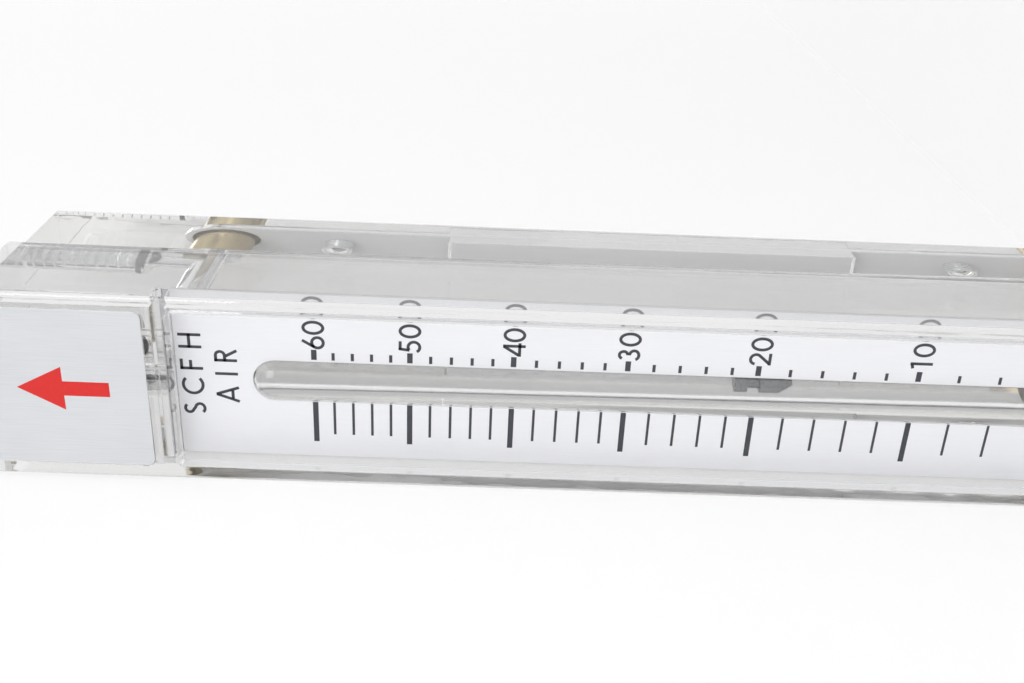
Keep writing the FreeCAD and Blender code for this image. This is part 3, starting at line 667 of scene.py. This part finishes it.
def line(*corners):
    """Stroke along straight lines from corner to corner."""
    return np.array(corners, float)


BRUSH = 0.135
EDGE = BRUSH / 2
STROKES = {
    "0": [arc(0.35, 0.5, 0.35 - EDGE, 0.5 - EDGE, 0, 360, 56)],
    "1": [line((0.26, 0), (0.26, 1)), line((0.02, 0.86), (0.26, 1 - EDGE))],
    "2": [np.vstack([arc(0.31, 0.69, 0.31 - EDGE, 0.31 - EDGE, 172, -32), line((0.10, 0.085))]),
          line((0.02, EDGE), (0.62, EDGE))],
    "3": [arc(0.28, 0.745, 0.25 - EDGE, 0.255 - EDGE, 160, -90),
          arc(0.28, 0.275, 0.30 - EDGE, 0.275 - EDGE, 90, -160)],
    "4": [line((0.52, 0), (0.52, 1)), line((0.50, 0.97), (0.06, 0.29)),
          line((0.0, 0.26), (0.68, 0.26))],
    "5": [line((0.14, 1 - EDGE), (0.56, 1 - EDGE)), line((0.18, 1), (0.12, 0.52)),
          arc(0.28, 0.325, 0.33 - EDGE, 0.325 - EDGE, 125, -150)],
    "6": [arc(0.33, 0.32, 0.33 - EDGE, 0.32 - EDGE, 0, 360, 56), line((0.105, 0.46), (0.44, 1.0))],
    "S": [np.vstack([arc(0.30, 0.745, 0.27 - EDGE, 0.255 - EDGE, 35, 250),
                     arc(0.30, 0.275, 0.30 - EDGE, 0.275 - EDGE, 80, -145)])],
    "C": [arc(0.50, 0.5, 0.50 - EDGE, 0.5 - EDGE, 45, 315, 48)],
    "F": [line((EDGE, 0), (EDGE, 1)), line((0, 1 - EDGE), (0.52, 1 - EDGE)),
          line((0, 0.53), (0.47, 0.53))],
    "H": [line((EDGE, 0), (EDGE, 1)), line((0.72 - EDGE, 0), (0.72 - EDGE, 1)),
          line((0, 0.53), (0.72, 0.53))],
    "A": [line((0.05, 0), (0.40, 1)), line((0.75, 0), (0.40, 1)),
          line((0.17, 0.28), (0.63, 0.28))],
    "I": [line((EDGE, 0), (EDGE, 1))],
    "R": [line((EDGE, 0), (EDGE, 1)),
          np.vstack([line((0, 1 - EDGE), (0.30, 1 - EDGE)),
                     arc(0.30, 0.735, 0.265 - EDGE, 0.265 - EDGE, 80, -90),
                     line((0, 0.47 + EDGE))]),
          line((0.28, 0.50), (0.56, 0.0))],
}


def brushed_stroke(path, width):
    """Left and right edge of a flat brush along a path: path plus and minus half the width
    along the unit normal of its slope."""
    slope = np.gradient(path, axis=0)
    slope /= np.linalg.norm(slope, axis=1, keepdims=True)
    normal = np.stack([-slope[:, 1], slope[:, 0]], axis=1)
    return path + normal * width / 2, path - normal * width / 2


def lettering(name, words, face, material):
    """Raised ink strokes. Each word is its text, its height, where its foot is, where each
    character starts, and a factor that stretches the characters' width."""
    points, faces, count = [], [], 0
    for text, tall, foot, starts, stretch in words:
        for character, start in zip(text, starts):
            for path in STROKES[character]:
                left, right = brushed_stroke(path * (stretch, 1), BRUSH)
                edges = np.stack([left, right], axis=1) * tall + (start, foot)
                section = np.empty((len(path), 4, 3))
                section[:, :, 0] = edges[:, (0, 1, 1, 0), 0]
                section[:, :, 1] = np.array([face - INK, face - INK, face, face])
                section[:, :, 2] = edges[:, (0, 1, 1, 0), 1]
                sides = grid_faces(len(path), 4, True) + count
                first, last = count + np.arange(4), count + len(path) * 4 - 4 + np.arange(4)
                points.append(section.reshape(-1, 3))
                faces.extend([sides, np.array([first, last[::-1]])])
                count += len(path) * 4
    return new_piece(name, np.vstack(points), np.vstack(faces), material)


print("characters:", "".join(STROKES))

# %% [markdown]
# The hundreds stand right of their stubs, and the unit, standard cubic feet per hour of air,
# stands in wide letters at the top of the scale.

# %% Numerals and unit
DIGIT, LETTER = 4.25 * MM, 4.3 * MM
numerals = []
for hundred in range(100, 601, 100):
    foot = height_of(float(hundred)) * MM - DIGIT / 2
    starts = np.array([7.5 if hundred == 100 else 7.0, 10.0, 13.25]) * MM
    numerals.append((str(hundred), DIGIT, foot, starts, 0.97))
lettering("scale_numerals", numerals, plate_face, BLACK_INK)
unit = [("SCFH", LETTER, 218.5 * MM, np.array([-7.9, -3.6, 1.75, 6.3]) * MM, 1.0),
        ("AIR", LETTER, 212.0 * MM, np.array([-5.05, 0.8, 3.65]) * MM, 1.0)]
lettering("scale_unit", unit, plate_face, BLACK_INK)

# %% [markdown]
# The upper nameplate carries only a plain arrow that shows the way the gas flows, upwards. It
# is one thin slab of ink, ruled between a left and a right edge that step out at the head.

# %% Flow arrow
ARROW_INK = 0.01 * MM
name_low, name_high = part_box("top_nameplate")
ARROW_LENGTH, SHAFT, HEAD = 17 * MM, 3 * MM, 9 * MM
arrow_middle = (name_low.z + name_high.z) / 2
edge_z = np.array([-0.5, 0, 0, 0.5]) * ARROW_LENGTH + arrow_middle
edge_x = np.array([SHAFT, SHAFT, HEAD, 0]) / 2
section = np.empty((4, 4, 3))
section[:, :, 0] = np.stack([-edge_x, edge_x, edge_x, -edge_x], axis=1)
section[:, :, 1] = name_low.y - np.array([ARROW_INK, ARROW_INK, 0, 0])
section[:, :, 2] = edge_z[:, None]
faces = np.vstack([grid_faces(4, 4, True), [[0, 1, 2, 3]]])
new_piece("flow_arrow", section, faces, RED_INK)

# %% [markdown]
# The stage is a white floor under the standing meter and a white board beside it, which the
# meter lies against when it is seen from its reader's side with the board as its table. Both
# are one-sided: seen from behind they vanish. They are lit like white card, so they keep the
# meter's soft shadow, and a share of plain white, which grows with the distance from the
# meter, leads them over into the background without a horizon.

# %% White card
WHITE = colour("#FFFFFF")


def white_card(name):
    """Card that mixes plain white light with a diffuse white, and is clear from behind."""
    material, tree, output = new_material(name)
    paper = add_node(tree, "ShaderNodeBsdfDiffuse", {"Color": colour("#F9F9F9")})
    glow = add_node(tree, "ShaderNodeEmission", {"Color": WHITE, "Strength": 1.0})
    path = add_node(tree, "ShaderNodeLightPath").outputs
    seen = path["Is Camera Ray"]
    for kind in ("Is Glossy Ray", "Is Transmission Ray"):
        seen = add_node(tree, "ShaderNodeMath", {"operation": "MAXIMUM"},
                        {0: seen, 1: path[kind]}).outputs[0]
    place = add_node(tree, "ShaderNodeTexCoord").outputs["Object"]
    away = add_node(tree, "ShaderNodeVectorMath", {"operation": "LENGTH"}, {0: place})
    plain = add_node(tree, "ShaderNodeMapRange",
                     {"From Min": 0.2, "From Max": 0.8, "To Min": 0.4, "To Max": 1.0},
                     {"Value": away.outputs["Value"]}).outputs["Result"]
    share = add_node(tree, "ShaderNodeMath", {"operation": "MULTIPLY"}, {0: seen, 1: plain})
    front = add_node(tree, "ShaderNodeMixShader", None,
                     {0: share.outputs[0], 1: paper.outputs[0], 2: glow.outputs[0]})
    clear = add_node(tree, "ShaderNodeBsdfTransparent")
    behind = add_node(tree, "ShaderNodeNewGeometry").outputs["Backfacing"]
    both = add_node(tree, "ShaderNodeMixShader", None,
                    {0: behind, 1: front.outputs[0], 2: clear.outputs[0]})
    tree.links.new(both.outputs[0], output.inputs["Surface"])
    return material


def stage_plane(name, corner, across, along, material):
    """Flat board from a corner and two sides."""
    corner, across, along = (np.array(v, float) for v in (corner, across, along))
    points = np.array([corner, corner + across, corner + across + along, corner + along])
    mesh = bpy.data.meshes.new(name)
    mesh.from_pydata(points.tolist(), [], [(0, 1, 2, 3)])
    mesh.materials.append(material)
    board = bpy.data.objects.new(name, mesh)
    bpy.context.scene.collection.objects.link(board)
    print(f"{name}: {across.max():.0f} m by {along.max():.0f} m")


CARD = white_card("matte_white_card")
GAP, BOARD = 0.02 * MM, 6.0
side_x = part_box("bezel")[0].x - GAP
stage_plane("floor", (-BOARD / 2, -BOARD / 2, -GAP), (BOARD, 0, 0), (0, BOARD, 0), CARD)
stage_plane("side_board", (side_x, -BOARD / 2, -BOARD / 2), (0, BOARD, 0), (0, 0, BOARD), CARD)

# %% [markdown]
# The world is a plain white room. What the camera sees is white at full strength. A gloss or
# the clear plastic sees the same white, but a soft grey where the reader stands, which draws
# the edges of the clear block. The light that falls on surfaces is a little lower, so that
# with one soft lamp a colour renders about as it is written.

# %% World
world = bpy.data.worlds.new("white_room")
bpy.context.scene.world = world
world.use_nodes = True
tree = world.node_tree
tree.nodes.clear()
path = add_node(tree, "ShaderNodeLightPath").outputs
mirrored = add_node(tree, "ShaderNodeMath", {"operation": "MAXIMUM"},
                    {0: path["Is Glossy Ray"], 1: path["Is Transmission Ray"]}).outputs[0]
way = add_node(tree, "ShaderNodeTexCoord").outputs["Generated"]
forward = add_node(tree, "ShaderNodeSeparateXYZ", None, {0: way}).outputs["Y"]
room = add_node(tree, "ShaderNodeMapRange",
                {"From Min": -0.9, "From Max": 0.1, "To Min": 0.6, "To Max": 1.0},
                {"Value": forward}).outputs["Result"]
plain = add_node(tree, "ShaderNodeBackground", {"Color": WHITE, "Strength": 0.75})
grey = add_node(tree, "ShaderNodeBackground", {"Color": WHITE}, {"Strength": room})
white = add_node(tree, "ShaderNodeBackground", {"Color": WHITE, "Strength": 1.0})
lit = add_node(tree, "ShaderNodeMixShader", None,
               {0: mirrored, 1: plain.outputs[0], 2: grey.outputs[0]})
mixed = add_node(tree, "ShaderNodeMixShader", None,
                 {0: path["Is Camera Ray"], 1: lit.outputs[0], 2: white.outputs[0]})
output = add_node(tree, "ShaderNodeOutputWorld")
tree.links.new(mixed.outputs[0], output.inputs["Surface"])
print("world nodes:", len(tree.nodes))

# %% [markdown]
# One large soft lamp stands in front, above and to the reader's right. Its power is worked out
# from its distance: on a surface that faces it, a lamp of P watts at d metres adds
# P / (pi * d) ** 2 of white.

# %% Lamp
def soft_lamp(name, place, target, size, white_share):
    """Square area lamp at place, turned to target, that adds a share of white there."""
    data = bpy.data.lights.new(name, "AREA")
    data.shape, data.size = "SQUARE", size
    reach = np.array(target) - np.array(place)
    distance = float(np.linalg.norm(reach))
    data.energy = white_share * (math.pi * distance) ** 2
    lamp = bpy.data.objects.new(name, data)
    bpy.context.scene.collection.objects.link(lamp)
    back = -reach / distance
    side = np.cross((0, 0, 1), back)
    side /= np.linalg.norm(side)
    turn = np.column_stack([side, np.cross(back, side), back])
    matrix = np.eye(4)
    matrix[:3, :3], matrix[:3, 3] = turn, place
    lamp.matrix_world = Matrix(matrix.tolist())
    print(f"{name}: {data.energy:.2f} W at {distance:.2f} m")


MIDDLE = (0.0, 0.0, 0.13)
soft_lamp("key", (0.75, -0.65, 0.75), MIDDLE, 0.7, 0.35)

# %% [markdown]
# The camera stands in front and to the reader's right of the upper half, and looks 26 degrees
# back towards the meter's left side. It is rolled a quarter turn, so that the tube runs across
# the picture with its top on the left. Its focal length is in millimetres, on Blender's sensor
# 36 mm wide.

# %% Camera
FOCAL = 40.605469
CAMERA_AT = np.array([105.65, -217.5, 165.0]) * MM
pitch, yaw, roll = (math.radians(a) for a in (26.22, 1.37, -2.72))
level_look = np.array([math.sin(yaw) * math.cos(pitch), math.cos(yaw) * math.cos(pitch),
                       -math.sin(pitch)])
level_right = np.array([math.cos(yaw), -math.sin(yaw), 0])
level_down = np.cross(level_look, level_right)
rolled_right = math.cos(roll) * level_right + math.sin(roll) * level_down
rolled_down = -math.sin(roll) * level_right + math.cos(roll) * level_down


def lying(vector):
    """Turn a direction round the lying meter, Z up, into one round the standing meter:
    (x, y, z) to (z, y, -x)."""
    return np.array([vector[2], vector[1], -vector[0]])


camera_data = bpy.data.cameras.new("reader_view")
camera_data.lens = FOCAL
camera_data.clip_start = 0.01
camera = bpy.data.objects.new("reader_view", camera_data)
bpy.context.scene.collection.objects.link(camera)
matrix = np.eye(4)
turn = [lying(rolled_right), -lying(rolled_down), -lying(level_look)]
matrix[:3, :3], matrix[:3, 3] = np.column_stack(turn), CAMERA_AT
camera.matrix_world = Matrix(matrix.tolist())
bpy.context.scene.camera = camera
bpy.context.scene.view_settings.view_transform = "Standard"
print("camera lens:", round(FOCAL, 2))
